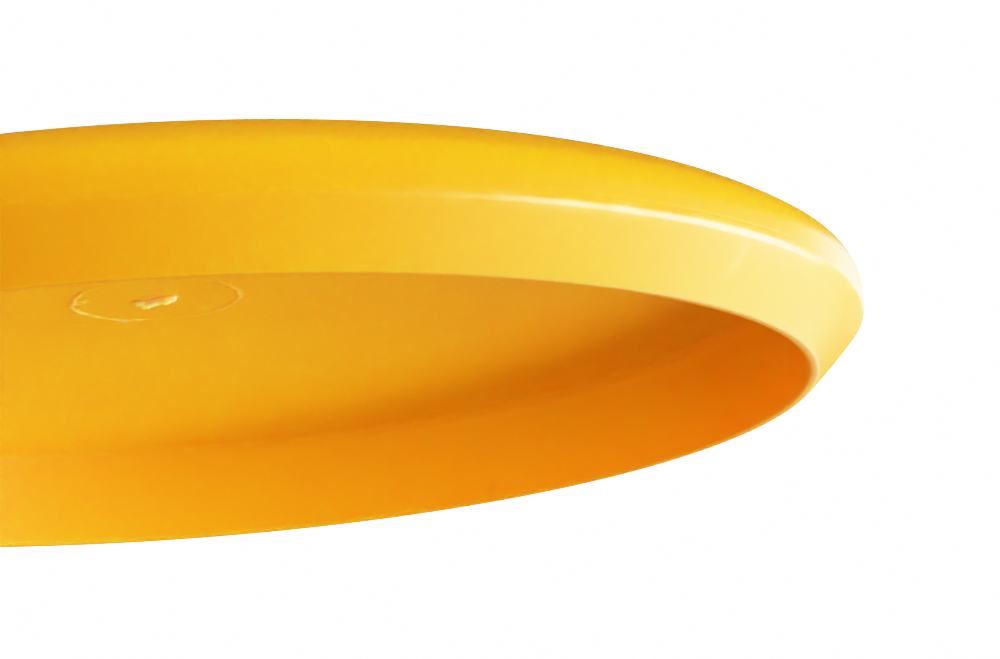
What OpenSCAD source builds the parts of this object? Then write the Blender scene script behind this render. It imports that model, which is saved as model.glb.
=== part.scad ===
// Flying disc, golf putter type: one plastic moulding with a thick bevelled rim, a deep hollow
// under a thin flight plate, and the scar of the mould's gate at the plate's centre.
// It lies on its lip, with +Z up through the flight plate and the origin at the centre of the
// circle that the lip rests on. Every outline is a chain of arcs that meet smoothly.

/* [Rim] */
// Outer diameter, across the nose
disc_d = 212; // [208:0.5:217]
// Radius that rounds the nose, the widest line of the rim
nose_r = 1.6; // [1:0.1:2.2]
// Width of the bevel between the nose and the lip
bevel_w = 9.9; // [9:0.1:10.8]
// Angle that the bevel faces below the horizontal
bevel_angle = 44.5; // [42:0.5:49]
// Radius of the bevel's slight outward bow
bevel_r = 100; // [60:5:200]
// Radius of the lip's two rounded edges
lip_r = 0.8; // [0.5:0.1:1.2]
// Width of the flat land on the lip that the disc rests on
lip_land = 0.7; // [0.3:0.1:1.6]

/* [Shoulder] */
// Radius of the almost straight side above the nose
side_r = 60; // [40:5:80]
// Angle at which the side ends
side_angle = 2.5; // [1:0.5:4]
// Radius of the shoulder above the side
shoulder_r = 6.2; // [5:0.1:7]
// Angle at which the shoulder ends
shoulder_angle = 53.5; // [48:0.5:60]
// Radius of the crown that leads from the shoulder to the top
crown_r = 32; // [26:1:36]
// Angle at which the crown ends and the gentle dome of the top begins
crown_angle = 88; // [86:0.5:89]

/* [Hollow] */
// Thickness of the flight plate at its centre
plate_t = 2; // [1.6:0.1:2.4]
// Lean of the hollow's wall, narrower towards the plate
wall_draft = 5.5; // [3:0.5:9]
// Radius of the corner between the wall and the plate
corner_r = 2; // [1.2:0.1:4]
// Slope of the plate's underside where it meets the corner
flare_slope = 13.5; // [11:0.5:15]
// Radius of the flare that thickens the plate towards the rim
flare_r = 150; // [120:5:170]
// Slope of the plate's underside where the flare begins
dome_slope = 1.4; // [1:0.1:2]

/* [Gate scar] */
// Diameter of the broken-off gate at the centre of the underside
gate_d = 4.6; // [3:0.1:6]
// Height that the gate stands below the plate
gate_h = 0.9; // [0.5:0.1:1.5]
// Diameter of the raised line that the mould's round insert leaves
ring_d = 25.4; // [20:0.1:30]
// Width of that line
ring_w = 0.5; // [0.4:0.1:1]
// Height of that line
ring_h = 0.15; // [0.1:0.05:0.3]

/* [Hidden] */
plastic = [0.93, 0.68, 0.09];
turn_steps = 180;
embed = 0.4;

// Where the bevel's arc begins and ends, as angles below the horizontal
bevel_bow = asin(bevel_w / 2 / bevel_r);
bevel_start = bevel_angle - bevel_bow;
bevel_end = bevel_angle + bevel_bow;

// Height of the nose above the lip's land
nose_z = nose_r * sin(bevel_start) + bevel_w * cos(bevel_angle) + lip_r * (1 - sin(bevel_end));
nose = [disc_d / 2, nose_z];

// Points of an arc that begins at p and turns from facing angle a to facing angle b, without p
function arc(p, radius, a, b, steps) = [
    for (i = [1:steps])
        let (t = a + (b - a) * i / steps)
        p + radius * [cos(t) - cos(a), sin(t) - sin(a)]
];
function last(points) = points[len(points) - 1];

// From the nose down to the lip's land
nose_under = arc(nose, nose_r, 0, -bevel_start, 6);
bevel = arc(last(nose_under), bevel_r, -bevel_start, -bevel_end, 6);
lip_outer = arc(last(bevel), lip_r, -bevel_end, -90, 5);

// From the nose up to the centre of the top
side = arc(nose, side_r, 0, side_angle, 2);
shoulder = arc(last(side), shoulder_r, side_angle, shoulder_angle, 14);
crown = arc(last(shoulder), crown_r, shoulder_angle, crown_angle, 12);
dome = arc(last(crown), last(crown).x / cos(crown_angle), crown_angle, 90, 6);
under_z = last(dome).y - plate_t;

// From the lip's land up the hollow's wall and along the underside to its centre
land_inner = [last(lip_outer).x - lip_land, 0];
lip_inner = arc(land_inner, lip_r, -90, wall_draft - 180, 5);
corner_run = corner_r * (cos(wall_draft) - sin(flare_slope));
corner_rise = corner_r * (cos(flare_slope) - sin(wall_draft));
flare_run = flare_r * (sin(flare_slope) - sin(dome_slope));
flare_rise = flare_r * (cos(dome_slope) - cos(flare_slope));
dome_rise = tan(dome_slope / 2);
wall_foot = last(lip_inner);
wall_room = under_z - wall_foot.y - corner_rise - flare_rise
    - dome_rise * (wall_foot.x - corner_run - flare_run);
wall_len = wall_room / (cos(wall_draft) - dome_rise * sin(wall_draft));
wall_top = wall_foot + wall_len * [-sin(wall_draft), cos(wall_draft)];
corner = arc(wall_top, corner_r, wall_draft, 90 - flare_slope, 8);
flare = arc(last(corner), flare_r, 90 - flare_slope, 90 - dome_slope, 8);
underside = arc(last(flare), last(flare).x / sin(dome_slope), 90 - dome_slope, 90, 4);

// The points of a list in the opposite order
function reversed(points) = [for (i = [len(points) - 1:-1:0]) points[i]];

outer_outline = concat(reversed(lip_outer), reversed(bevel), reversed(nose_under), [nose],
    side, shoulder, crown, dome);
hollow_outline = concat([land_inner], lip_inner, [wall_top], corner, flare, underside);

// The whole section turned about the axis: rim, shoulder and flight plate in one wall
module shell() {
    rotate_extrude($fn = turn_steps)
        polygon(concat(outer_outline, reversed(hollow_outline)));
}

// The stub of the gate, with a bevelled end, rooted in the plate
module gate_stub() {
    rotate_extrude($fn = 48)
        polygon([
            [0, under_z + embed],
            [0, under_z - gate_h],
            [gate_d * 0.3, under_z - gate_h],
            [gate_d * 0.5, under_z - gate_h * 0.3],
            [gate_d * 0.5, under_z + embed]
        ]);
}

// The thin raised line around the gate, where the mould's insert ends
module insert_line() {
    rotate_extrude($fn = turn_steps)
        translate([ring_d / 2, under_z])
            polygon([
                [-ring_w / 2, embed],
                [-ring_w / 2, -ring_h / 2],
                [0, -ring_h],
                [ring_w / 2, -ring_h / 2],
                [ring_w / 2, embed]
            ]);
}

module disc() {
    color(plastic)
    union() {
        shell();
        gate_stub();
        insert_line();
    }
}

disc();
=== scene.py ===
import math
import bpy
from mathutils import Matrix, Quaternion, Vector, noise


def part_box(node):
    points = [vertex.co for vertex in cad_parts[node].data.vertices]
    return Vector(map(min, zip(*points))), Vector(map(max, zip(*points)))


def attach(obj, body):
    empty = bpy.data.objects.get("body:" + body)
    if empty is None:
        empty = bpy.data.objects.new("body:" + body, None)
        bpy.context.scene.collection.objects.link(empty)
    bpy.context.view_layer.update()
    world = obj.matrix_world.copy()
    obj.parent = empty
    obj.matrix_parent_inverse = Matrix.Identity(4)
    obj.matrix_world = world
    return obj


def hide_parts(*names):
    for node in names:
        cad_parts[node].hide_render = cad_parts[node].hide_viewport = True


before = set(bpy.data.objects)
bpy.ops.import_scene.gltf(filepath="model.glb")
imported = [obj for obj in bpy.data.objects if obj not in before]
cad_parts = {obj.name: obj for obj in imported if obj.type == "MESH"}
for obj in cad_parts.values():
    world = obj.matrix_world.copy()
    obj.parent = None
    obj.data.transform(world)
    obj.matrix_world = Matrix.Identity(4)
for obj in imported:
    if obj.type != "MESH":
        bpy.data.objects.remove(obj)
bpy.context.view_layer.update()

MM = 0.001

# The section's dimensions, in millimetres and degrees, as in the CAD part
NOSE_R = 1.6
BEVEL_W = 9.9
BEVEL_ANGLE = 44.5
BEVEL_R = 100.0
LIP_R = 0.8
LIP_LAND = 0.7
SIDE_R = 60.0
SIDE_ANGLE = 2.5
SHOULDER_R = 6.2
SHOULDER_ANGLE = 53.5
CROWN_R = 32.0
CROWN_ANGLE = 88.0
PLATE_T = 2.0
WALL_DRAFT = 5.5
CORNER_R = 2.0
FLARE_SLOPE = 13.5
FLARE_R = 150.0
DOME_SLOPE = 1.4
RING_R = 12.7

disc_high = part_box("disc")[1]
DISC_R = disc_high.x / MM
DISC_H = disc_high.z / MM

# The camera, in metres and degrees, with its lens in millimetres. Before it is turned by its yaw,
# pitch and roll it looks at the frame's origin.
CAMERA_DISTANCE = 0.4416
CAMERA_BELOW = 11.05
CAMERA_YAW = -6.685
CAMERA_PITCH = 1.701
CAMERA_ROLL = 3.61
CAMERA_LENS = 105.04

# The stage: the floor in metres, then brightnesses
FLOOR_DROP = 0.9
FLOOR_HALF = 8.0
FLOOR_GLOW = 0.5
BACKDROP = 3.2
ROOM = 0.06
ROOM_GLOSS = 0.022

# The tone curve: where it starts to bend, the brightness that it ends at, and its steps
FILM_BEND = 0.45
FILM_WHITE = 4
FILM_STEPS = 20


def sin(degrees):
    return math.sin(math.radians(degrees))


def cos(degrees):
    return math.cos(math.radians(degrees))


def smooth(edge0, edge1, x):
    """0 before edge0, 1 after edge1, and a smooth rise between them."""
    t = min(1.0, max(0.0, (x - edge0) / (edge1 - edge0)))
    return t * t * (3 - 2 * t)


def bump(x, centre, width):
    """A bell of height 1 around centre."""
    return math.exp(-((x - centre) / width) ** 2)


# ---- The section ----

WALL_STEPS = 10


def arc(start, radius, a, b, steps):
    """Points of an arc that begins at start and turns from facing a to facing b, without start."""
    points = []
    for i in range(1, steps + 1):
        t = a + (b - a) * i / steps
        across = radius * (cos(t) - cos(a))
        points.append((start[0] + across, start[1] + radius * (sin(t) - sin(a))))
    return points


def outer_section():
    """The outer outline as two runs, from the lip's land to the nose and on to just short of the
    top's centre, and the nose's height."""
    bow = math.degrees(math.asin(BEVEL_W / 2 / BEVEL_R))
    start, end = BEVEL_ANGLE - bow, BEVEL_ANGLE + bow
    nose_z = NOSE_R * sin(start) + BEVEL_W * cos(BEVEL_ANGLE) + LIP_R * (1 - sin(end))
    nose = (DISC_R, nose_z)
    under = arc(nose, NOSE_R, 0, -start, 8)
    bevel = arc(under[-1], BEVEL_R, -start, -end, 12)
    lip = arc(bevel[-1], LIP_R, -end, -90, 6)
    side = arc(nose, SIDE_R, 0, SIDE_ANGLE, 36)
    shoulder = arc(side[-1], SHOULDER_R, SIDE_ANGLE, SHOULDER_ANGLE, 16)
    crown = arc(shoulder[-1], CROWN_R, SHOULDER_ANGLE, CROWN_ANGLE, 14)
    dome = arc(crown[-1], crown[-1][0] / cos(CROWN_ANGLE), CROWN_ANGLE, 90, 12)
    below = lip[::-1] + bevel[::-1] + under[::-1] + [nose]
    return below, side + shoulder + crown + dome[:-1], nose_z


def underside_height(r, under_z, flare_start):
    """Height of the plate's underside at radius r, inside the corner's arc."""
    rise = sin(DOME_SLOPE)
    dome_r = flare_start / rise
    if r <= flare_start:
        return under_z - dome_r + math.sqrt(dome_r * dome_r - r * r)
    dome_drop = flare_start * math.tan(math.radians(DOME_SLOPE / 2))
    turn = rise + (r - flare_start) / FLARE_R
    return under_z - dome_drop - FLARE_R * (cos(DOME_SLOPE) - math.sqrt(1 - turn * turn))


def hollow_section(land_x, under_z):
    """The lip's inner edge, the hollow's wall and its corner, from the land up to the plate, and
    the radius where the plate's flare starts."""
    lip = arc((land_x, 0), LIP_R, -90, WALL_DRAFT - 180, 6)
    corner_run = CORNER_R * (cos(WALL_DRAFT) - sin(FLARE_SLOPE))
    corner_rise = CORNER_R * (cos(FLARE_SLOPE) - sin(WALL_DRAFT))
    flare_run = FLARE_R * (sin(FLARE_SLOPE) - sin(DOME_SLOPE))
    flare_rise = FLARE_R * (cos(DOME_SLOPE) - cos(FLARE_SLOPE))
    dome_rise = math.tan(math.radians(DOME_SLOPE / 2))
    foot = lip[-1]
    room = under_z - foot[1] - corner_rise - flare_rise
    room -= dome_rise * (foot[0] - corner_run - flare_run)
    length = room / (cos(WALL_DRAFT) - dome_rise * sin(WALL_DRAFT))
    wall = []
    for i in range(1, WALL_STEPS + 1):
        part = length * i / WALL_STEPS
        wall.append((foot[0] - part * sin(WALL_DRAFT), foot[1] + part * cos(WALL_DRAFT)))
    corner = arc(wall[-1], CORNER_R, WALL_DRAFT, 90 - FLARE_SLOPE, 8)
    return lip + wall + corner, corner[-1][0] - flare_run


# ---- The marks that are not round ----

# The torn gate: the listed points of its spine, how high it stands at each as a share of
# GATE_H, and GATE_H itself
GATE_SPINE = [(-2.5, 0.9), (-1.6, 1.2), (-0.6, 0.7), (0.5, -0.5), (1.5, -1.1), (2.4, -1.0)]
GATE_LOBES = [0.72, 1.0, 0.8, 0.75, 1.05, 0.8]
GATE_H = 0.9

# Height of the parting line above the nose, and half its width
PARTING_RISE = 0.8
PARTING_W = 0.16


def wobble(x, y, scale, seed):
    """Smooth noise between -1 and 1 over the plane."""
    return noise.noise(Vector((x * scale, y * scale, seed)))


def gate_height(x, y):
    """The torn stub of the gate: a short crooked ridge on a low round foot."""
    best = 0.0
    for (x0, y0), (x1, y1), h0, h1 in zip(GATE_SPINE, GATE_SPINE[1:], GATE_LOBES, GATE_LOBES[1:]):
        dx, dy = x1 - x0, y1 - y0
        t = ((x - x0) * dx + (y - y0) * dy) / (dx * dx + dy * dy)
        t = min(1.0, max(0.0, t))
        away = math.hypot(x - x0 - t * dx, y - y0 - t * dy)
        top = (h0 + (h1 - h0) * t) * (1 - smooth(0.55, 1.0, away))
        best = max(best, top)
    foot = 0.12 * (1 - smooth(1.8, 3.3, math.hypot(x, y)))
    ragged = 1 + 0.22 * wobble(x, y, 2.6, 4.0)
    return GATE_H * best * ragged + foot


def insert_height(x, y):
    """The uneven raised line that the mould's round insert leaves, with a tab of flash."""
    r = math.hypot(x, y)
    angle = math.degrees(math.atan2(y, x)) % 360
    across = 0.45 * wobble(x, y, 0.16, 1.0) + 0.16 * wobble(x, y, 0.7, 2.0)
    far_left = smooth(80, 105, angle) * (1 - smooth(205, 235, angle))
    right = 1 - smooth(50, 75, angle) * (1 - smooth(300, 335, angle))
    height = 0.05 + 0.22 * far_left + 0.15 * right
    height *= 0.8 + 0.5 * wobble(x, y, 0.55, 3.0)
    line = height * bump(r, RING_R + across, 0.45)
    tab = 0.26 * bump(x, -5.3, 0.9) * bump(y, 12.6, 0.9)
    blister = 0.2 * bump(math.hypot(x + 11.6, y + 0.8), 0.8, 0.35)
    return line + tab + blister


def second_line_height(x, y):
    """A fainter stretch of line outside the first, on one side only."""
    angle = math.degrees(math.atan2(y, x)) % 360
    path = 17.0 + 5.8 * smooth(110, 205, angle)
    stretch = smooth(95, 125, angle) * (1 - smooth(195, 225, angle))
    return 0.05 * stretch * bump(math.hypot(x, y), path, 0.5)


def scuff(x, y, z):
    """Where a short crescent scratch lies on the bevel, from 0 to 1."""
    angle = math.degrees(math.atan2(y, x)) % 360
    along = smooth(2.2, 3.2, z) * (1 - smooth(6.2, 7.2, z))
    middle = 316.4 + 0.7 * bump(z, 5.4, 1.6)
    return along * bump(angle, middle, 0.34)


def parting_depth(angle):
    """Depth of the shallow groove along the mould's parting line, deeper on the right. The angle
    isn't wrapped, so the depth steps by 0.009 mm at angle 0."""
    return 0.004 + 0.009 * (1 - smooth(20, 60, abs(angle - 335)))


def nose_wear_and_painted_highlight(x, y, z, nose_z):
    """Where the nose is painted pale along the line of its highlight, in short broken stretches,
    from 0 to 1: partly a painted highlight, partly rubbed wear.
    """
    angle = math.degrees(math.atan2(y, x)) % 360
    # Pale patches along the nose's highlight line on the lit side: a painted highlight, partly
    # rubbed wear
    stretch = smooth(283, 296, angle) * (1 - smooth(345, 358, angle))
    patch = smooth(-0.25, 0.35, noise.noise(Vector((angle * 0.42, z * 0.5, 7.0))))
    return stretch * patch * bump(z, nose_z - 0.5, 0.7)


def speck(x, y, z):
    """Where a dark speck sits in the wall, just above the lip."""
    return bump(math.hypot(x - 57.5, y - 77.8), 0, 0.55) * bump(z, 1.5, 0.5)


# ---- The mesh ----

# Points around the rim
AROUND = 384

# Radii that bound the marks: those of the underside, the pale ones near the gate, the parting line
# and the pale patches on the nose, which are wear with a painted highlight
UNDERSIDE_MARKS_TO = 26
GATE_MARKS_TO = 15
PARTING_FROM = 100
NOSE_WEAR_AND_HIGHLIGHT_FROM = 104

# How pale each mark is at most, from 0 to 1
STUB_PALE = 0.9
LINE_PALE = 0.38
SCUFF_PALE = 0.2
# The nose's pale patches are a painted highlight as well as wear
NOSE_WEAR_AND_HIGHLIGHT_PALE = 0.35


def stations(first, last, step):
    """Evenly spaced radii after first, up to and with last."""
    count = max(1, round((last - first) / step))
    return [first + (last - first) * i / count for i in range(1, count + 1)]


def plate_stations(edge):
    """(radius, points around) from the centre out, close together where the marks are."""
    zones = [
        (0.0, 3.6, 0.12, AROUND // 4),
        (3.6, 10.8, 0.8, AROUND // 2),
        (10.8, 15.0, 0.12, AROUND),
        (15.0, 25.0, 0.4, AROUND // 2),
        (25.0, edge, 3.0, AROUND // 2),
    ]
    return [(r, n) for first, last, step, n in zones for r in stations(first, last, step)]


def section_rings():
    """Every ring of the moulding as (radius, height, points around), from the plate's centre over
    the lip to the top, and the heights of the plate's underside and of the nose."""
    below, above, nose_z = outer_section()
    under_z = DISC_H - PLATE_T
    land_x = below[0][0] - LIP_LAND
    inner, flare_start = hollow_section(land_x, under_z)
    plate = plate_stations(inner[-1][0])
    rings = [(r, underside_height(r, under_z, flare_start), n) for r, n in plate]
    rings += [(r, z, AROUND) for r, z in inner[-2::-1] + [(land_x, 0.0)] + below + above]
    return rings, under_z, nose_z


def marked(x, y, z, under_z):
    """The height of a point of the plain section with the marks of the underside added."""
    r = math.hypot(x, y)
    if z > under_z + 0.5 * PLATE_T or r > UNDERSIDE_MARKS_TO:
        return z
    return z - gate_height(x, y) - insert_height(x, y) - second_line_height(x, y)


def add_band(faces, first, n_first, second, n_second):
    """Faces between two rings; where one has twice the points, three triangles a pair."""
    if n_first == n_second:
        for i in range(n_first):
            j = (i + 1) % n_first
            faces.append((first + i, second + i, second + j, first + j))
        return
    outward = n_second > n_first
    fine, coarse, n = (second, first, n_first) if outward else (first, second, n_second)
    for i in range(n):
        a, b = coarse + i, coarse + (i + 1) % n
        p, q, s = fine + 2 * i, fine + 2 * i + 1, fine + (2 * i + 2) % (2 * n)
        for corner in ((a, p, q), (a, q, b), (b, q, s)):
            faces.append(corner if outward else corner[::-1])


def store_marks(mesh, vertices, under_z, nose_z):
    """Two values at each point of the mesh, from 0 to 1: how pale and how dark its colour is. The
    pale one holds the painted highlight along the nose as well as real marks.
    """
    pale = mesh.attributes.new("pale", "FLOAT", "POINT")
    dark = mesh.attributes.new("dark", "FLOAT", "POINT")
    for i, (x, y, z) in enumerate(vertices):
        r = math.hypot(x, y)
        near_gate = r < GATE_MARKS_TO and z < under_z + 0.5
        stub = smooth(0.1, 0.28, gate_height(x, y)) if near_gate else 0.0
        line = smooth(0.05, 0.3, insert_height(x, y)) if near_gate else 0.0
        # Painted highlight along the nose, mixed with rubbed wear
        nose_rub_and_highlight = NOSE_WEAR_AND_HIGHLIGHT_PALE * nose_wear_and_painted_highlight(x, y, z, nose_z) if r > NOSE_WEAR_AND_HIGHLIGHT_FROM else 0.0
        pale.data[i].value = max(
            STUB_PALE * stub, LINE_PALE * line, SCUFF_PALE * scuff(x, y, z), nose_rub_and_highlight)
        dark.data[i].value = speck(x, y, z)


def build_moulding():
    """The whole disc as one closed mesh, in place."""
    rings, under_z, nose_z = section_rings()
    vertices = [(0.0, 0.0, marked(0.0, 0.0, under_z, under_z))]
    starts = []
    for r, z, count in rings:
        starts.append((len(vertices), count))
        groove = bump(z, nose_z + PARTING_RISE, PARTING_W) if r > PARTING_FROM else 0.0
        for i in range(count):
            angle = 360 * i / count
            line = parting_depth(angle) * groove
            x, y = (r - line) * cos(angle), (r - line) * sin(angle)
            vertices.append((x, y, marked(x, y, z, under_z)))
    top = len(vertices)
    vertices.append((0.0, 0.0, DISC_H))
    faces = []
    first, count = starts[0]
    faces += [(0, first + i, first + (i + 1) % count) for i in range(count)]
    for (a, n), (b, m) in zip(starts, starts[1:]):
        add_band(faces, a, n, b, m)
    last, count = starts[-1]
    faces += [(top, last + (i + 1) % count, last + i) for i in range(count)]
    mesh = bpy.data.meshes.new("disc_moulding")
    mesh.from_pydata([Vector(v) * MM for v in vertices], [], faces)
    mesh.flip_normals()
    mesh.polygons.foreach_set("use_smooth", [True] * len(mesh.polygons))
    store_marks(mesh, vertices, under_z, nose_z)
    piece = bpy.data.objects.new("disc_moulding", mesh)
    bpy.context.scene.collection.objects.link(piece)
    return piece


# ---- The plastic ----

# Linear colours: the plastic's two shades, then those of the pale marks, with the painted
# highlight on the nose, and of the dark mark
ORANGE_YELLOW = (0.97, 0.365, 0.0050)
LIGHT_YELLOW = (0.97, 0.395, 0.0060)
PALE = (1.0, 0.74, 0.22)
DARK = (0.30, 0.08, 0.01)

# Scales of the noise: for the shades, the gloss and the fine grain
CLOUD_SCALE = 22
SPECKLE_SCALE = 900
GRAIN_SCALE = 420


def link(tree, source, target):
    tree.links.new(source, target)


def noise_node(tree, coordinates, scale, detail):
    node = tree.nodes.new("ShaderNodeTexNoise")
    node.inputs["Scale"].default_value = scale
    node.inputs["Detail"].default_value = detail
    link(tree, coordinates, node.inputs["Vector"])
    return node


def mix_color(tree, factor, first, second):
    node = tree.nodes.new("ShaderNodeMix")
    node.data_type = "RGBA"
    for value, socket in ((factor, "Factor"), (first, "A"), (second, "B")):
        kind = "VALUE" if socket == "Factor" else "RGBA"
        target = [s for s in node.inputs if s.name == socket and s.type == kind][0]
        if isinstance(value, tuple):
            target.default_value = (*value, 1)
        else:
            link(tree, value, target)
    return [s for s in node.outputs if s.type == "RGBA"][0]


def map_range(tree, value, from_low, from_high, to_low, to_high):
    node = tree.nodes.new("ShaderNodeMapRange")
    limits = {"From Min": from_low, "From Max": from_high, "To Min": to_low, "To Max": to_high}
    for name, number in limits.items():
        node.inputs[name].default_value = number
    link(tree, value, node.inputs["Value"])
    return node.outputs["Result"]


def attribute(tree, name):
    node = tree.nodes.new("ShaderNodeAttribute")
    node.attribute_name = name
    return node.outputs["Fac"]


def yellow_plastic():
    """Satin plastic that light sinks into, with cloudy shades, uneven gloss and a fine grain."""
    material = bpy.data.materials.new("yellow_plastic")
    material.use_nodes = True
    tree = material.node_tree
    shader = tree.nodes["Principled BSDF"]
    place = tree.nodes.new("ShaderNodeTexCoord").outputs["Object"]
    cloud = noise_node(tree, place, CLOUD_SCALE, 3).outputs["Fac"]
    speckle = noise_node(tree, place, SPECKLE_SCALE, 2).outputs["Fac"]
    shade = map_range(tree, cloud, 0.35, 0.65, 0, 1)
    color = mix_color(tree, shade, ORANGE_YELLOW, LIGHT_YELLOW)
    # Pale marks, with the painted highlight along the nose
    color = mix_color(tree, attribute(tree, "pale"), color, PALE)
    color = mix_color(tree, attribute(tree, "dark"), color, DARK)
    link(tree, color, shader.inputs["Base Color"])
    rough = map_range(tree, speckle, 0.3, 0.7, 0.29, 0.34)
    link(tree, rough, shader.inputs["Roughness"])
    shader.inputs["Subsurface Weight"].default_value = 1.0
    shader.inputs["Subsurface Radius"].default_value = (1.0, 0.2, 0.04)
    shader.inputs["Subsurface Scale"].default_value = 0.006
    shader.inputs["Specular IOR Level"].default_value = 0.5
    grain = tree.nodes.new("ShaderNodeBump")
    grain.inputs["Strength"].default_value = 0.03
    grain.inputs["Distance"].default_value = 0.0001
    link(tree, noise_node(tree, place, GRAIN_SCALE, 3).outputs["Fac"], grain.inputs["Height"])
    link(tree, grain.outputs["Normal"], shader.inputs["Normal"])
    return material


# ---- The stage ----

def add_camera():
    camera = bpy.data.cameras.new("camera")
    camera.lens = CAMERA_LENS
    camera.sensor_width = 36
    camera.clip_start = 0.01
    holder = bpy.data.objects.new("camera", camera)
    back = Vector((0, -CAMERA_DISTANCE * cos(CAMERA_BELOW), -CAMERA_DISTANCE * sin(CAMERA_BELOW)))
    turn = Matrix.Rotation(math.radians(90 + CAMERA_BELOW), 4, "X")
    turn = turn @ Matrix.Rotation(math.radians(CAMERA_YAW), 4, "Y")
    turn = turn @ Matrix.Rotation(math.radians(CAMERA_PITCH), 4, "X")
    turn = turn @ Matrix.Rotation(math.radians(-CAMERA_ROLL), 4, "Z")
    holder.matrix_world = Matrix.Translation(back) @ turn
    bpy.context.scene.collection.objects.link(holder)
    bpy.context.scene.camera = holder


def softbox(name, azimuth, elevation, distance, width, height, power, matt=True, gloss=True,
            aim=(0, 0, 0), roll=0):
    """A flat rectangular lamp that faces aim and that the camera doesn't see. It stands at
    distance from the frame's origin. Azimuth 0 is along +X and 90 along +Y; a positive roll
    lifts the end with the larger azimuth. A lamp without matt leaves out the diffuse rays and
    one without gloss the reflected rays."""
    lamp = bpy.data.lights.new(name, "AREA")
    lamp.shape = "RECTANGLE"
    lamp.size = width
    lamp.size_y = height
    lamp.energy = power
    holder = bpy.data.objects.new(name, lamp)
    way = Vector((cos(elevation) * cos(azimuth), cos(elevation) * sin(azimuth), sin(elevation)))
    holder.location = way * distance
    facing = (holder.location - Vector(aim)).to_track_quat("Z", "Y")
    holder.rotation_euler = (facing @ Quaternion((0, 0, 1), math.radians(roll))).to_euler()
    holder.visible_camera = False
    holder.visible_diffuse = matt
    holder.visible_glossy = gloss
    bpy.context.scene.collection.objects.link(holder)


def background(tree, strength):
    node = tree.nodes.new("ShaderNodeBackground")
    node.inputs["Color"].default_value = (1, 1, 1, 1)
    node.inputs["Strength"].default_value = strength
    return node.outputs["Background"]


def mix_shader(tree, factor, first, second):
    node = tree.nodes.new("ShaderNodeMixShader")
    link(tree, factor, node.inputs["Fac"])
    link(tree, first, node.inputs[1])
    link(tree, second, node.inputs[2])
    return node.outputs["Shader"]


def add_world():
    """A white backdrop for the camera, weak soft light, and an even dimmer room in the
    reflections."""
    world = bpy.data.worlds.new("studio")
    world.use_nodes = True
    tree = world.node_tree
    ray = tree.nodes.new("ShaderNodeLightPath").outputs
    soft, gloss = background(tree, ROOM), background(tree, ROOM_GLOSS)
    room = mix_shader(tree, ray["Is Glossy Ray"], soft, gloss)
    seen = mix_shader(tree, ray["Is Camera Ray"], room, background(tree, BACKDROP))
    link(tree, seen, tree.nodes["World Output"].inputs["Surface"])
    bpy.context.scene.world = world


def add_floor():
    """A pale floor far below, because the camera stands lower than the disc. It glows a little
    to stay pale, and neither lights the disc nor shows in its gloss."""
    mesh = bpy.data.meshes.new("floor")
    signs = [(-1, -1), (1, -1), (1, 1), (-1, 1)]
    mesh.from_pydata([(x * FLOOR_HALF, y * FLOOR_HALF, 0) for x, y in signs], [], [(0, 1, 2, 3)])
    floor = bpy.data.objects.new("floor", mesh)
    floor.location.z = -FLOOR_DROP
    floor.visible_glossy = False
    floor.visible_diffuse = False
    bpy.context.scene.collection.objects.link(floor)
    paint = bpy.data.materials.new("floor_paint")
    paint.use_nodes = True
    shader = paint.node_tree.nodes["Principled BSDF"]
    shader.inputs["Base Color"].default_value = (0.82, 0.82, 0.81, 1)
    shader.inputs["Roughness"].default_value = 0.9
    shader.inputs["Emission Color"].default_value = (1, 1, 1, 1)
    shader.inputs["Emission Strength"].default_value = FLOOR_GLOW
    mesh.materials.append(paint)


def film_shoulder(x):
    """Straight up to FILM_BEND, then bending over towards white as film does."""
    if x < FILM_BEND:
        return x
    return 1 - (1 - FILM_BEND) * math.exp((FILM_BEND - x) / (1 - FILM_BEND))


def set_film():
    """The tone curve of the picture, the same for each colour channel."""
    view = bpy.context.scene.view_settings
    view.view_transform = "Standard"
    view.use_curve_mapping = True
    view.curve_mapping.white_level = (FILM_WHITE, FILM_WHITE, FILM_WHITE)
    points = view.curve_mapping.curves[3].points
    points[-1].location = (1, film_shoulder(FILM_WHITE))
    for i in range(1, FILM_STEPS):
        points.new(i / FILM_STEPS, film_shoulder(FILM_WHITE * i / FILM_STEPS))
    view.curve_mapping.update()


# ---- The scene ----

set_film()
add_camera()
add_world()
add_floor()
# Each lamp: azimuth, elevation, distance, width, height and power. All but the last light only
# the matt part of the surface or only its gloss.
softbox("key", 0, -12, 0.8, 1.0, 0.32, 10, gloss=False)
softbox("strip", -6, -13, 0.8, 0.9, 0.5, 19, matt=False, roll=16)
softbox("rim", 42, -25, 0.8, 0.8, 0.5, 2.6, matt=False)
softbox("under", 12, -47, 0.8, 0.8, 0.5, 1.0, matt=False)
softbox("side", 46, 10, 1.2, 0.6, 0.4, 2.6, matt=False)
softbox("right", 15, 10, 1.2, 0.8, 0.6, 1.5, gloss=False)
softbox("low", 25, -40, 0.8, 0.6, 0.3, 5.5, gloss=False)
softbox("fill", -125, -71, 0.13, 0.14, 0.05, 0.115, gloss=False, aim=(-0.01, 0.1, 0.01))
softbox("overhead", -90, 78, 1.2, 1.0, 1.0, 14, gloss=False)
softbox("face", -70, -6, 0.8, 0.8, 0.25, 6.7, gloss=False)
softbox("back", 150, 20, 1.2, 0.9, 0.6, 9)

moulding = build_moulding()
moulding.data.materials.append(yellow_plastic())
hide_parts("disc")
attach(moulding, "root")
